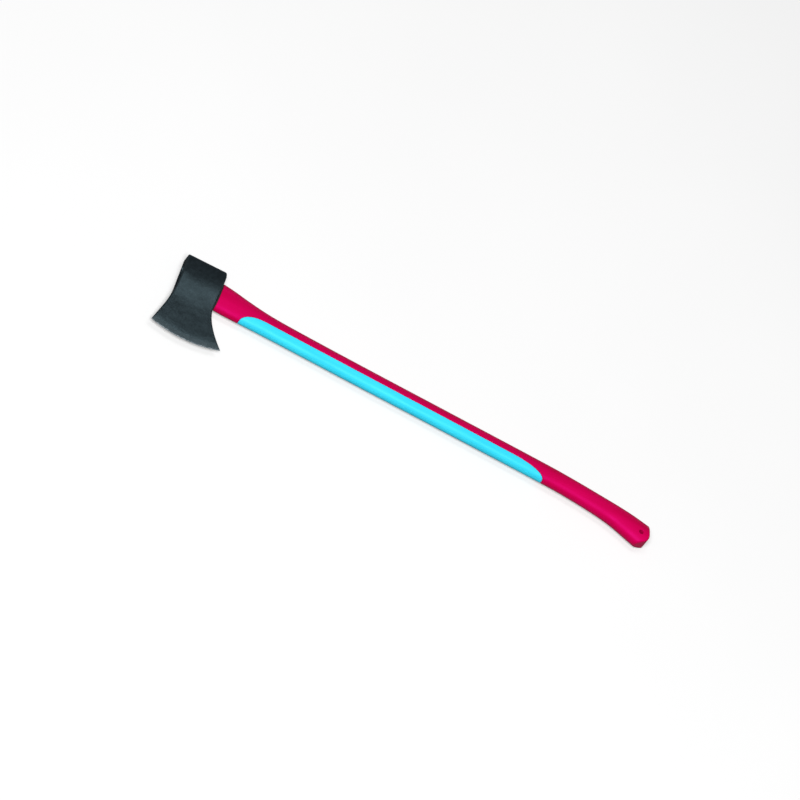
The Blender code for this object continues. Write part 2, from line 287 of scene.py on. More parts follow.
def tube(body, rings):
    """Closed body: rings joined with quads, with a face over the first and over the last."""
    skin(body, rings, closed=True)
    body.faces.new(rings[0])
    body.faces.new(rings[-1])


def piece(name, body, material, node):
    """Finish a piece: outward faces, smooth shading, its material, and its ride on the axe."""
    bmesh.ops.remove_doubles(body, verts=body.verts, dist=1e-6)
    bmesh.ops.recalc_face_normals(body, faces=body.faces)
    mesh = bpy.data.meshes.new(name)
    body.to_mesh(mesh)
    body.free()
    obj = bpy.data.objects.new(name, mesh)
    bpy.context.scene.collection.objects.link(obj)
    mesh.materials.append(material)
    mesh.shade_smooth()
    mesh.set_sharp_from_angle(angle=SHARP_ANGLE)
    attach(obj, BODY)
    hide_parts(node)
    return obj


def cut(obj, body, joins=False):
    """Cut a closed body out of a piece, and join the piece's own overlapping bodies where it says so."""
    bmesh.ops.remove_doubles(body, verts=body.verts, dist=1e-7)
    bmesh.ops.recalc_face_normals(body, faces=body.faces)
    mesh = bpy.data.meshes.new("cutter")
    body.to_mesh(mesh)
    body.free()
    cutter = bpy.data.objects.new("cutter", mesh)
    bpy.context.scene.collection.objects.link(cutter)
    modifier = obj.modifiers.new("cut", 'BOOLEAN')
    modifier.operation = 'DIFFERENCE'
    modifier.object = cutter
    modifier.solver = 'EXACT'
    modifier.use_self = joins
    bpy.context.view_layer.update()
    graph = bpy.context.evaluated_depsgraph_get()
    whole = obj.evaluated_get(graph)
    result = bpy.data.meshes.new_from_object(whole, preserve_all_data_layers=True, depsgraph=graph)
    obj.modifiers.remove(modifier)
    result.name = obj.data.name
    obj.data = result
    bpy.data.objects.remove(cutter, do_unlink=True)
    result.shade_smooth()
    result.set_sharp_from_angle(angle=CUT_SHARP_ANGLE)


# ---------------------------------------------------------------- head

def bit_depth(share_down):
    """Depth of the cutting edge, from 0 at the toe to 1 at the heel, on its arc."""
    toe, heel = Vector(TOE), Vector(HEEL)
    chord = heel - toe
    outward = Vector((-chord.y, chord.x)).normalized()
    centre = (toe + heel) / 2 - outward * math.sqrt(BIT_RADIUS**2 - (chord.length / 2) ** 2)
    x = toe.x + chord.x * share_down
    return centre.y + math.sqrt(BIT_RADIUS**2 - (x - centre.x) ** 2)


def underside(depth):
    """x of the head's lower edge: it rises a little at the poll and sweeps down to the heel."""
    rise = POLL_RISE * max(0.0, 1 - depth / POLL_RISE_DEPTH) ** 2
    sweep = max(0.0, (depth - BEARD_START) / (HEEL[1] - BEARD_START)) ** BEARD_POWER
    return SHOULDER - rise + (HEEL[0] - SHOULDER) * sweep


def head_half_ring(share, inset):
    """Half of a section through the head, a share of the way from the poll to the bit."""
    top = smooth_value(TOP_EDGE, share * TOE[1])[0] + inset
    bottom = underside(share * HEEL[1]) - inset
    half = min(smooth_value(HEAD_THICKNESS, share)[0], HALF_THICKNESS) - inset
    radius = min(CHEEK_ROUNDING, 0.7 * half)
    corner = [math.pi / 2 * k / (CORNER_POINTS - 1) for k in range(CORNER_POINTS)]
    rounded = [(radius * (1 - math.cos(a)), half - radius * (1 - math.sin(a))) for a in corner]
    section = [(top + in_from_edge, z) for in_from_edge, z in rounded]
    for k in range(1, HEAD_FACE_POINTS):
        section.append((top + radius + (bottom - top - 2 * radius) * k / HEAD_FACE_POINTS, half))
    section += [(bottom - in_from_edge, z) for in_from_edge, z in rounded[::-1]]
    ring = []
    for x, z in section:
        to_bit = bit_depth((x - top) / (bottom - top)) - EDGE_STONING
        ring.append((x, share * to_bit - (1 - share) * (POLL_STEP + POLL_SLOPE * x), z))
    return ring


def head_shares():
    """Places of the head's rings, closer together towards the bit's ground edge."""
    return [1.0 - (1.0 - k / HEAD_RINGS) ** HEAD_RING_CROWDING for k in range(1, HEAD_RINGS + 1)]


def oval_ring(body, x, half_depth, half_width, depth=EYE_DEPTH, points=OVAL_POINTS):
    """Ring of vertices round an oval that stands square on the handle's direction."""
    ring = []
    for k in range(points):
        angle = 2 * math.pi * k / points
        place = point(x, depth + half_depth * math.cos(angle), half_width * math.sin(angle))
        ring.append(body.verts.new(place))
    return ring


def eye_half(x, extra=0.0):
    """Half sizes of the tapered eye at x, made larger by an extra."""
    t = x / SHOULDER
    return [top + (mouth - top) * t + extra for top, mouth in zip(EYE_TOP, EYE_MOUTH)]


def make_head(material):
    """Forged head: a finely lofted wedge, with the eye cut through it and the eye's rim broken."""
    body = bmesh.new()
    edge = body.verts.layers.float.new("near_edge")
    wear = body.verts.layers.float.new("arris")
    sections = []
    for k in range(POLL_ROUNDING_RINGS):
        angle = math.pi / 2 * k / POLL_ROUNDING_RINGS
        share = POLL_ROUNDING * (1 - math.cos(angle)) / TOE[1]
        sections.append((share, POLL_ROUNDING * (1 - math.sin(angle))))
    start = POLL_ROUNDING + POLL_ROUNDING_MARGIN
    sections += [(share, 0.0) for share in head_shares() if share * TOE[1] > start]
    rings = []
    for share, inset in sections:
        half = head_half_ring(share, inset)
        count = len(half)
        upper, lower = [], []
        for index, (x, depth, z) in enumerate(half):
            from_end = min(index, count - 1 - index)
            arris = max(0.0, 1.0 - abs(from_end - CORNER_POINTS / 2) / (CORNER_POINTS / 2))
            if 0.0 < inset < POLL_ROUNDING:
                arris = 1.0
            for side, verts in ((z, upper), (-z, lower)):
                vert = body.verts.new(point(x, depth, side))
                vert[edge] = max(0.0, 1.0 - (1.0 - share) * HEEL[1] / EDGE_ZONE)
                vert[wear] = arris
                verts.append(vert)
        rings.append(upper + lower[::-1])
    skin(body, rings, closed=True)
    for ring in (rings[0], rings[-1]):
        count = len(ring)
        for i in range(count // 2 - 1):
            body.faces.new((ring[i], ring[i + 1], ring[count - 2 - i], ring[count - 1 - i]))
    head = piece("head_forging", body, material, "axe_head")

    eye = bmesh.new()
    rings = [oval_ring(eye, EYE_CUTTER[0], *eye_half(0.0, 2.5 * EYE_RIM_RADIUS))]
    top = smooth_value(TOP_EDGE, EYE_DEPTH)[0]
    for sine, cosine in quarter_round(RIM_STEPS)[::-1]:
        half = eye_half(0.0, EYE_RIM_RADIUS * (1 - cosine))
        rings.append(oval_ring(eye, top + EYE_RIM_RADIUS * (1 - sine), *half))
    rings.append(oval_ring(eye, EYE_CUTTER[1], *eye_half(SHOULDER)))
    tube(eye, rings)
    cut(head, eye)


# ---------------------------------------------------------------- inside the eye

def oval_sleeve(name, profile, material, node):
    """Ring-shaped piece: a closed profile of (x, half depth, half width) swept round the oval."""
    body = bmesh.new()
    rings = [oval_ring(body, *row) for row in profile]
    skin(body, rings + rings[:1], closed=True)
    piece(name, body, material, node)


def make_resin(material):
    """Cured resin round the tongue, with its top drawn up where it wets the steel and the tongue."""
    outer_top = eye_half(RESIN_END, -RESIN_CLEARANCE)
    inner = [half + RESIN_CLEARANCE for half in TONGUE]
    profile = []
    for k in range(PROFILE_STEPS + 1):
        t = k / PROFILE_STEPS
        dip = RESIN_DIP * (1 - (2 * t - 1) ** 4)
        profile.append((RESIN_END + dip, *[a + (b - a) * t for a, b in zip(outer_top, inner)]))
    profile.append((SHOULDER, *inner))
    profile.append((SHOULDER, *eye_half(SHOULDER, -RESIN_CLEARANCE)))
    oval_sleeve("resin_bond", profile, material, "eye_resin")


def make_seal(material):
    """Rubber ring, squeezed so that its outer edge bulges between the head and the handle."""
    start = SHOULDER + SEAL_CLEARANCE
    stop = NECK_FACE - SEAL_CLEARANCE
    inner = [half + GAP for half in TONGUE]
    profile = [(stop, *inner), (start, *inner)]
    for k in range(PROFILE_STEPS + 1):
        t = k / PROFILE_STEPS
        bulge = SEAL_BULGE * math.sin(math.pi * t) - SEAL_BULGE
        profile.append((start + (stop - start) * t, *[half + bulge for half in SEAL]))
    oval_sleeve("shoulder_seal", profile, material, "eye_seal")


def rod_body(profile):
    """Closed body along the rod's line, from a profile of x and the inset from the rod's section."""
    body = bmesh.new()
    start, stop = ROD_START, ROD_STOP
    slope = (stop[1] - start[1]) / (stop[0] - start[0])
    rings = []
    for x, inset in profile:
        half = [size - inset for size in ROD_HALF]
        depth = start[1] + slope * (x - start[0])
        rings.append(oval_ring(body, x, *half, depth=depth, points=ROD_POINTS))
    tube(body, rings)
    return body


def make_rod(material):
    """Rod that runs inside the jacket, with its sawn ends' edges broken."""
    start, stop = ROD_START[0], ROD_STOP[0]
    profile = [
        (start, ROD_CHAMFER),
        (start + ROD_CHAMFER, 0.0),
        (stop - ROD_CHAMFER, 0.0),
        (stop, ROD_CHAMFER),
    ]
    piece("rod_core", rod_body(profile), material, "core_rod")


# ---------------------------------------------------------------- handle surface

def handle_point(x, angle, offset=0.0):
    """Point on the handle in the axe's millimetres; the angle runs from the belly towards +z."""
    back, half_depth, half_width = smooth_value(HANDLE_STATIONS, x)
    half_width = min(half_width, HALF_THICKNESS)
    depth = back + half_depth + (half_depth - offset) * math.cos(angle)
    return Vector((x, depth, (half_width - offset) * math.sin(angle)))


def handle_normal(x, angle):
    """Outward unit normal of the handle's surface."""
    step = 0.05
    along = handle_point(x + step, angle) - handle_point(x - step, angle)
    around = handle_point(x, angle + step / 10) - handle_point(x, angle - step / 10)
    return around.cross(along).normalized()


def window_outline(t):
    """x and angle of the window's edge, from its front at t = 0 to its rear at t = 1."""
    if t < WINDOW_FRONT_SHARE:
        turn = math.pi / 2 * t / WINDOW_FRONT_SHARE
        x = WINDOW_FRONT + WINDOW_FRONT_LENGTH * (1 - math.cos(turn))
    elif t > WINDOW_REAR_SHARE:
        turn = math.pi / 2 * (1 - t) / (1 - WINDOW_REAR_SHARE)
        x = WINDOW_REAR - WINDOW_REAR_LENGTH * (1 - math.cos(turn))
    else:
        turn = math.pi / 2
        start = WINDOW_FRONT + WINDOW_FRONT_LENGTH
        stop = WINDOW_REAR - WINDOW_REAR_LENGTH
        share = (t - WINDOW_FRONT_SHARE) / (WINDOW_REAR_SHARE - WINDOW_FRONT_SHARE)
        x = start + (stop - start) * share
    back, half_depth, _ = smooth_value(HANDLE_STATIONS, x)
    belly = back + 2 * half_depth
    depth = belly - (belly - WINDOW_EDGE) * math.sin(turn)
    return x, math.acos(max(-1.0, min(1.0, (depth - back - half_depth) / half_depth)))


def even_outline(step):
    """Points along the window's edge, a step apart, as (x, angle)."""
    fine = [window_outline(k / WINDOW_SAMPLES) for k in range(WINDOW_SAMPLES + 1)]
    places = [handle_point(*item) for item in fine]
    travelled = [0.0]
    for a, b in zip(places, places[1:]):
        travelled.append(travelled[-1] + (b - a).length)
    count = round(travelled[-1] / step)
    points = []
    index = 0
    for k in range(count + 1):
        target = travelled[-1] * k / count
        while index < len(fine) - 2 and travelled[index + 1] < target:
            index += 1
        share = (target - travelled[index]) / max(travelled[index + 1] - travelled[index], 1e-9)
        share = min(max(share, 0.0), 1.0)
        points.append(tuple(a + (b - a) * share for a, b in zip(fine[index], fine[index + 1])))
    return points


def surface_params(place):
    """x and angle of the place on the handle's surface that a point beside it belongs to."""
    back, half_depth, half_width = smooth_value(HANDLE_STATIONS, place.x)
    return place.x, math.atan2(place.z / half_width, (place.y - back - half_depth) / half_depth)


class WindowEdge:
    """One station on the window's edge, on the +z side: its place, normal and way out of the window."""

    def __init__(self, outline, index):
        x, angle = outline[index]
        self.place = handle_point(x, angle)
        self.normal = handle_normal(x, angle)
        ahead = handle_point(*outline[min(index + 1, len(outline) - 1)])
        behind = handle_point(*outline[max(index - 1, 0)])
        if index == 0:
            behind = Vector((ahead.x, ahead.y, -ahead.z))
        if index == len(outline) - 1:
            ahead = Vector((behind.x, behind.y, -behind.z))
        self.outward = (ahead - behind).cross(self.normal).normalized()

    def at(self, out, down):
        """Place at a distance out of the window along the surface, and down into the handle."""
        return self.place + self.outward * out - self.normal * down


def window_edges():
    """The window's outline as even points of (x, angle), and its station at each of them."""
    outline = even_outline(ROW_STEP)
    return outline, [WindowEdge(outline, i) for i in range(len(outline))]


def mirrored(places):
    """The same places on the -z side."""
    return [Vector((place.x, place.y, -place.z)) for place in places]


def handle_row(start_x, start_angle, far_x, columns, over_back, offset=0.0):
    """Row between the window's two edges, round the back or over the belly; from angle 0 it closes."""
    far_angle = math.pi if over_back else 0.0
    row = []
    for j in range(columns + 1):
        share = j / columns
        side = 1.0 if share <= 0.5 else -1.0
        reach = 1 - abs(2 * share - 1)
        angle = start_angle + (far_angle - start_angle) * reach
        x = far_x + (start_x - far_x) * (1 + math.cos(math.pi * reach)) / 2
        spot = handle_point(x, angle, offset)
        row.append(Vector((spot.x, spot.y, side * spot.z)))
    return row


def far_positions(outline, front, rear):
    """x of each window row half way round, which starts from front, ends at rear and fans out near both."""
    front_end = WINDOW_FRONT + WINDOW_FRONT_LENGTH
    rear_start = WINDOW_REAR - WINDOW_REAR_LENGTH
    first = max(i for i, (x, _) in enumerate(outline) if x <= front_end)
    last = min(i for i, (x, _) in enumerate(outline) if x >= rear_start)
    final = len(outline) - 1
    positions = []
    for i, (x, _) in enumerate(outline):
        if i < first:
            positions.append(front + (outline[first][0] - front) * i / first)
        elif i > last:
            positions.append(rear + (outline[last][0] - rear) * (final - i) / (final - last))
        else:
            positions.append(x)
    return positions


def add_rows(body, rows):
    """Vertices for rows of places given in the axe's millimetres."""
    return [[body.verts.new(point(*place)) for place in row] for row in rows]


def knob_end(depth):
    """x of the knob's end at a depth: two facets and a chamfer, running softly into each other."""
    x, peak = KNOB_PEAK
    low, high = KNOB_FACETS
    first = x - (depth - peak) * low[1] / low[0]
    second = x - (depth - peak) * high[1] / high[0]
    third = KNOB_CHAMFER_POINT[0] - (depth - KNOB_CHAMFER_POINT[1]) * KNOB_CHAMFER[1] / KNOB_CHAMFER[0]
    return soft_min(soft_min(first, second, KNOB_CREASE), third, 2 * KNOB_CREASE)


def knob_rows(columns):
    """Closed rows from the grip to the middle of the knob's end, with the rim rounded."""
    angles = [2 * math.pi * j / columns for j in range(columns + 1)]
    ends = []
    for angle in angles:
        x = KNOB_PEAK[0]
        for _ in range(KNOB_SOLVER_ROUNDS):
            x = (x + knob_end(handle_point(x, angle).y)) / 2
        ends.append(x)
    rows = []
    count = round((KNOB_PEAK[0] - KNOB_RINGS_FROM) / ROW_STEP) + KNOB_EXTRA_ROWS
    for k in range(count + 1):
        share = k / count
        rows.append([
            handle_point(KNOB_RINGS_FROM + (end - KNOB_ROUNDING - KNOB_RINGS_FROM) * share, angle)
            for end, angle in zip(ends, angles)
        ])
    rims = rows[-1]
    middle = Vector((0.0, sum(rim.y for rim in rims) / len(rims), 0.0))
    for sine, cosine in quarter_round(RIM_STEPS)[1:]:
        row = []
        for rim in rims:
            inward = Vector((0.0, middle.y - rim.y, -rim.z)).normalized()
            spot = rim + inward * KNOB_ROUNDING * (1 - cosine)
            row.append(Vector((knob_end(spot.y) - KNOB_ROUNDING * (1 - sine), spot.y, spot.z)))
        rows.append(row)
    last = rows[-1]
    for k in range(1, KNOB_FACE_RINGS + 1):
        row = []
        for spot in last:
            depth = spot.y + (middle.y - spot.y) * k / KNOB_FACE_RINGS
            row.append(Vector((knob_end(depth), depth, spot.z * (1 - k / KNOB_FACE_RINGS))))
        rows.append(row)
    return rows


def make_overmould(material):
    """Soft overmould: a closed shell with a rounded lip round the window and a hanging hole."""
    outline, edges = window_edges()
    starts = [surface_params(edge.at(OVERMOULD_LIP, 0.0)) for edge in edges]
    far = far_positions(outline, WINDOW_FRONT - FAN, WINDOW_REAR + FAN)

    def shell(neck_x, window, offset, stop_x):
        """Rows from the neck, past the window, to stop_x."""
        rows = []
        before = round((window[0][0] - neck_x) / ROW_STEP)
        for k in range(before):
            t = k / before
            near = neck_x + (window[0][0] - neck_x) * t
            rows.append(handle_row(near, 0.0, neck_x + (far[0] - neck_x) * t, COLUMNS, True, offset))
        for (x, angle), far_x in zip(window, far):
            rows.append(handle_row(x, angle, far_x, COLUMNS, True, offset))
        after = round((stop_x - window[-1][0]) / ROW_STEP)
        for k in range(1, after + 1):
            t = k / after
            near = window[-1][0] + (stop_x - window[-1][0]) * t
            rows.append(handle_row(near, 0.0, far[-1] + (stop_x - far[-1]) * t, COLUMNS, True, offset))
        return rows, before

    outer, first = shell(NECK_FACE + NECK_ROUNDING, starts, 0.0, KNOB_RINGS_FROM)
    inner, first_inner = shell(NECK_FACE, outline, OVERMOULD_WALL, JACKET_END)
    body = bmesh.new()
    outer = add_rows(body, outer)
    inner = add_rows(body, inner)
    skin(body, outer, closed=False)
    skin(body, inner, closed=False)
    knob = add_rows(body, knob_rows(COLUMNS))
    skin(body, knob, closed=False)
    body.faces.new(inner[-1][:-1])

    neck = []
    for sine, cosine in quarter_round(NECK_ROUNDING_STEPS)[1:]:
        x = NECK_FACE + NECK_ROUNDING * (1 - sine)
        neck.append(handle_row(x, 0.0, x, COLUMNS, True, NECK_ROUNDING * (1 - cosine)))
    skin(body, [outer[0]] + add_rows(body, neck) + [inner[0]], closed=False)

    for side in (0, -1):
        strips = []
        for i, edge in enumerate(edges):
            arc = []
            for s, c in quarter_round(LIP_STEPS)[1:]:
                arc.append(edge.at(OVERMOULD_LIP * (1 - s), OVERMOULD_LIP * (1 - c)))
            if side == -1:
                arc = mirrored(arc)
            lip = add_rows(body, [arc])[0]
            strips.append([outer[first + i][side]] + lip + [inner[first_inner + i][side]])
        skin(body, strips, closed=False)
    overmould = piece("grip_skin", body, material, "grip_overmould")

    hole = bmesh.new()
    surface = handle_point(HANGING_HOLE[0], math.pi / 2).z - HANGING_HOLE_SINK
    radius, rim = HANGING_HOLE_RADIUS, HANGING_HOLE_RIM
    profile = [(surface + CUTTER_OVERHANG, radius + rim)]
    profile += [(surface - rim * (1 - c), radius + rim * (1 - s)) for s, c in quarter_round(RIM_STEPS)]
    profile += [(-z, size) for z, size in profile[::-1]]
    x, depth = HANGING_HOLE
    turns = [2 * math.pi * k / HANGING_HOLE_POINTS for k in range(HANGING_HOLE_POINTS)]
    rings = []
    for z, size in profile:
        ring = [(x + size * math.cos(a), depth + size * math.sin(a), z) for a in turns]
        rings += add_rows(hole, [ring])
    tube(hole, rings)
    cut(overmould, hole)


def make_jacket(material):
    """Jacket: the land that fills the window, the shaft, the tongue and the rod's bore."""
    outline, edges = window_edges()
    columns = COLUMNS // 2
    top_starts = [surface_params(edge.at(-WINDOW_GROOVE - LAND_LIP, 0.0)) for edge in edges]
    low_starts = [surface_params(edge.at(-WINDOW_GROOVE, 0.0)) for edge in edges]
    body = bmesh.new()
    sheets = []
    for starts, offset in ((top_starts, 0.0), (low_starts, LAND_THICKNESS)):
        far = far_positions(outline, starts[0][0], starts[-1][0])
        rows = [handle_row(x, abs(a), far_x, columns, False, offset) for (x, a), far_x in zip(starts, far)]
        sheets.append(add_rows(body, rows))
        skin(body, sheets[-1], closed=False)
    for side in (0, -1):
        strips = []
        for i, edge in enumerate(edges):
            arc = []
            for s, c in quarter_round(LIP_STEPS)[1:]:
                arc.append(edge.at(-WINDOW_GROOVE - LAND_LIP * (1 - s), LAND_LIP * (1 - c)))
            if side == -1:
                arc = mirrored(arc)
            strips.append([sheets[0][i][side]] + add_rows(body, [arc])[0] + [sheets[1][i][side]])
        skin(body, strips, closed=False)

    shaft = []
    for k in range(SHAFT_ROWS + 1):
        x = NECK_FACE + (JACKET_END - GAP - NECK_FACE) * k / SHAFT_ROWS
        shaft.append(handle_row(x, 0.0, x, columns, True, OVERMOULD_WALL + SHAFT_GAP)[:-1])
    tube(body, add_rows(body, shaft))

    rings = []
    for sine, cosine in quarter_round(TONGUE_ROUNDING_STEPS)[::-1]:
        half = [size - TONGUE_ROUNDING * (1 - cosine) for size in TONGUE]
        rings.append(oval_ring(body, TONGUE_END + TONGUE_ROUNDING * (1 - sine), *half))
    rings.append(oval_ring(body, NECK_FACE + TONGUE_ROOT, *TONGUE))
    tube(body, rings)
    jacket = piece("handle_core_moulding", body, material, "handle_jacket")
    bore_ends = (ROD_START[0] - BORE_OVERHANG, ROD_STOP[0] + ROD_CLEARANCE)
    cut(jacket, rod_body([(x, -ROD_CLEARANCE) for x in bore_ends]), joins=True)


# ---------------------------------------------------------------- materials

def srgb(*channels):
    """Linear colour, with alpha, from an sRGB colour of 0 to 255."""
    linear = []
    for channel in channels:
        value = channel / 255.0
        linear.append(value / 12.92 if value < 0.04 else ((value + 0.055) / 1.055) ** 2.4)
    return (*linear, 1.0)


def new_material(name):
    """Material with its node tree and its Principled BSDF."""
    material = bpy.data.materials.new(name)
    material.use_nodes = True
    return material, material.node_tree, material.node_tree.nodes["Principled BSDF"]


def add(tree, kind, inputs=None, **settings):
    """Node with its settings, and inputs that are either numbers or sockets to link from."""
    node = tree.nodes.new(kind)
    for name, value in settings.items():
        setattr(node, name, value)
    for name, value in (inputs or {}).items():
        if isinstance(value, bpy.types.NodeSocket):
            tree.links.new(value, node.inputs[name])
        else:
            node.inputs[name].default_value = value
    return node


def coordinates(tree, stretch=(1.0, 1.0, 1.0)):
    """Object coordinates in metres, stretched along each axis."""
    place = add(tree, "ShaderNodeTexCoord").outputs["Object"]
    return add(tree, "ShaderNodeMapping", {"Vector": place, "Scale": stretch}).outputs["Vector"]


def noise(tree, size, detail, stretch=(1.0, 1.0, 1.0), roughness=0.5):
    """Noise from 0 to 1 whose blotches are about size metres across."""
    inputs = {
        "Vector": coordinates(tree, stretch),
        "Scale": 1.0 / size,
        "Detail": detail,
        "Roughness": roughness,
    }
    return add(tree, "ShaderNodeTexNoise", inputs).outputs[0]


def cells(tree, size):
    """Distance to the middle of random cells of about size metres."""
    inputs = {"Vector": coordinates(tree), "Scale": 1.0 / size}
    return add(tree, "ShaderNodeTexVoronoi", inputs).outputs["Distance"]


def remap(tree, value, from_low, from_high, to_low, to_high):
    """Value carried from one range to another, held at its ends."""
    inputs = {
        "Value": value,
        "From Min": from_low,
        "From Max": from_high,
        "To Min": to_low,
        "To Max": to_high,
    }
    return add(tree, "ShaderNodeMapRange", inputs).outputs[0]


def calculate(tree, operation, first, second=0.0):
    """Sum, product or another result of two values."""
    return add(tree, "ShaderNodeMath", {0: first, 1: second}, operation=operation).outputs[0]


def blend(tree, share, first, second):
    """Colour between two colours."""
    node = add(tree, "ShaderNodeMix", data_type='RGBA')
    for index, value in ((0, share), (6, first), (7, second)):
        if isinstance(value, bpy.types.NodeSocket):
            tree.links.new(value, node.inputs[index])
        else:
            node.inputs[index].default_value = value
    return node.outputs[2]


def relief(tree, shader, layers):
    """Bumps on a shader, from layers of (height, depth in metres)."""
    normal = None
    for height, depth in layers:
        inputs = {"Height": height, "Distance": depth, "Strength": 1.0}
        if normal is not None:
            inputs["Normal"] = normal
        normal = add(tree, "ShaderNodeBump", inputs).outputs["Normal"]
    tree.links.new(normal, shader.inputs["Normal"])


def parting_line(tree, width):
    """1 on the line where the two halves of the mould met, half way through the thickness."""
    place = add(tree, "ShaderNodeSeparateXYZ", {0: coordinates(tree)}).outputs["Z"]
    away = calculate(tree, "ABSOLUTE", calculate(tree, "SUBTRACT", place, ORIGIN.z))
    return remap(tree, away, 0.0, width, 1.0, 0.0)


def painted_steel():
    """Satin black paint on a forging, thinner on the arrises and ground away along the edge."""
    material, tree, shader = new_material("painted_steel")
    shader.inputs["Specular IOR Level"].default_value = 0.45
    shader.inputs["Specular Tint"].default_value = (0.58, 0.88, 1.0, 1.0)
    near = add(tree, "ShaderNodeAttribute", attribute_name="near_edge").outputs["Fac"]
    edge = calculate(tree, "SUBTRACT", 1.0, near)
    arris = add(tree, "ShaderNodeAttribute", attribute_name="arris").outputs["Fac"]
    ragged = noise(tree, 0.004, 4.0)
    scratches = noise(tree, 0.0011, 3.0, stretch=(1.0, 0.06, 0.06))
    mottle = noise(tree, 0.006, 5.0, roughness=0.6)
    grain = noise(tree, 0.0007, 3.0)
    forging = noise(tree, 0.03, 2.0)

    line = calculate(tree, "ADD", edge, remap(tree, ragged, 0.3, 0.7, -0.04, 0.04))
    bright = remap(tree, line, 0.02, 0.06, 0.9, 0.0)
    ground = remap(tree, line, 0.08, 0.48, 0.12, 0.0)
    streaked = calculate(tree, "MULTIPLY", ground, remap(tree, scratches, 0.35, 0.6, 0.4, 1.0))
    bare = calculate(tree, "MAXIMUM", bright, streaked)

    paint = blend(tree, remap(tree, mottle, 0.3, 0.7, 0.0, 1.0), srgb(17, 22, 25), srgb(25, 31, 35))
    worn = calculate(tree, "MULTIPLY", arris, remap(tree, ragged, 0.35, 0.75, 0.0, 0.4))
    paint = blend(tree, worn, paint, srgb(66, 76, 82))
    steel = blend(tree, scratches, srgb(86, 95, 100), srgb(168, 177, 182))
    tree.links.new(blend(tree, bare, paint, steel), shader.inputs["Base Color"])
    tree.links.new(remap(tree, bare, 0.3, 1.0, 0.0, 0.6), shader.inputs["Metallic"])
    rough = remap(tree, mottle, 0.3, 0.7, 0.29, 0.40)
    facing = add(tree, "ShaderNodeTexCoord").outputs["Normal"]
    ends = calculate(tree, "ABSOLUTE", add(tree, "ShaderNodeSeparateXYZ", {0: facing}).outputs["X"])
    scale = remap(tree, ends, 0.5, 0.9, 0.0, 0.5)
    tree.links.new(calculate(tree, "ADD", rough, scale), shader.inputs["Roughness"])
    cut_marks = calculate(tree, "MULTIPLY", scratches, remap(tree, edge, 0.1, 0.5, 1.0, 0.0))
    relief(tree, shader, [(forging, 0.001), (mottle, 0.00012), (grain, 0.00004), (cut_marks, 0.00006)])
    return material


def moulded(name, colours, rough, sheen, wave, grain_size, grain_depth):
    """Moulded plastic: faint flow marks along the handle, a fine grain and the mould's parting line."""
    material, tree, shader = new_material(name)
    shader.inputs["Specular IOR Level"].default_value = sheen[0]
    shader.inputs["Specular Tint"].default_value = (*sheen[1], 1.0)
    dark, light = colours
    flow = noise(tree, 0.012, 3.0, stretch=(0.12, 1.0, 1.0))
    cloud = noise(tree, 0.05, 2.0)
    grain = cells(tree, grain_size)
    smudge = noise(tree, 0.02, 4.0, roughness=0.6)
    colour = blend(tree, remap(tree, flow, 0.3, 0.7, 0.0, 1.0), dark, light)
    colour = blend(tree, remap(tree, grain, 0.0, 0.12, 0.25, 0.0), colour, dark)
    tree.links.new(colour, shader.inputs["Base Color"])
    tree.links.new(remap(tree, smudge, 0.3, 0.7, rough - 0.05, rough + 0.07), shader.inputs["Roughness"])
    line = parting_line(tree, 0.0004)
    relief(tree, shader, [(cloud, wave), (grain, grain_depth), (line, 0.00012)])
    return material


def red_elastomer():
    """Satin crimson overmould with a fine moulded grain."""
    colours = srgb(186, 0, 64), srgb(198, 0, 76)
    sheen = 0.4, (1.0, 0.03, 0.6)
    return moulded("red_elastomer", colours, 0.46, sheen, 0.0006, 0.0007, 0.00005)


def blue_polypropylene():
    """Glossier sky-blue moulding."""
    colours = srgb(48, 204, 234), srgb(58, 216, 240)
    sheen = 0.25, (0.3, 0.9, 1.0)
    return moulded("blue_polypropylene", colours, 0.34, sheen, 0.0005, 0.0009, 0.00002)


def epoxy():
    """Amber cured resin with small bubbles."""
    material, tree, shader = new_material("epoxy")
    cloud = noise(tree, 0.006, 4.0)
    bubbles = cells(tree, 0.0012)
    colour = blend(tree, cloud, srgb(150, 112, 58), srgb(186, 150, 92))
    tree.links.new(colour, shader.inputs["Base Color"])
    tree.links.new(remap(tree, cloud, 0.3, 0.7, 0.18, 0.34), shader.inputs["Roughness"])
    shader.inputs["Subsurface Weight"].default_value = 0.2
    shader.inputs["Subsurface Radius"].default_value = (0.002, 0.001, 0.0005)
    relief(tree, shader, [(cloud, 0.0003), (remap(tree, bubbles, 0.0, 0.3, 0.0, 1.0), 0.00008)])
    return material


def glass_fibre():
    """Sawn end of a pultruded rod: bundles of fibres in resin, crossed by saw marks."""
    material, tree, shader = new_material("glass_fibre")
    fibres = cells(tree, 0.0006)
    saw = noise(tree, 0.0012, 2.0, stretch=(1.0, 1.0, 0.05))
    cloud = noise(tree, 0.003, 3.0)
    colour = blend(tree, remap(tree, fibres, 0.1, 0.6, 0.0, 1.0), srgb(222, 214, 184), srgb(168, 158, 122))
    colour = blend(tree, remap(tree, cloud, 0.4, 0.7, 0.0, 0.4), colour, srgb(196, 190, 160))
    tree.links.new(colour, shader.inputs["Base Color"])
    tree.links.new(remap(tree, saw, 0.3, 0.7, 0.5, 0.7), shader.inputs["Roughness"])
    relief(tree, shader, [(saw, 0.00012), (fibres, 0.00005)])
    return material


def black_rubber():
    """Matt black rubber with a faint bloom."""
    material, tree, shader = new_material("black_rubber")
    bloom = noise(tree, 0.004, 4.0)
    grain = noise(tree, 0.0005, 2.0)
    tree.links.new(blend(tree, bloom, srgb(18, 18, 20), srgb(34, 34, 36)), shader.inputs["Base Color"])
    tree.links.new(remap(tree, bloom, 0.3, 0.7, 0.7, 0.88), shader.inputs["Roughness"])
    relief(tree, shader, [(grain, 0.00005)])
    return material


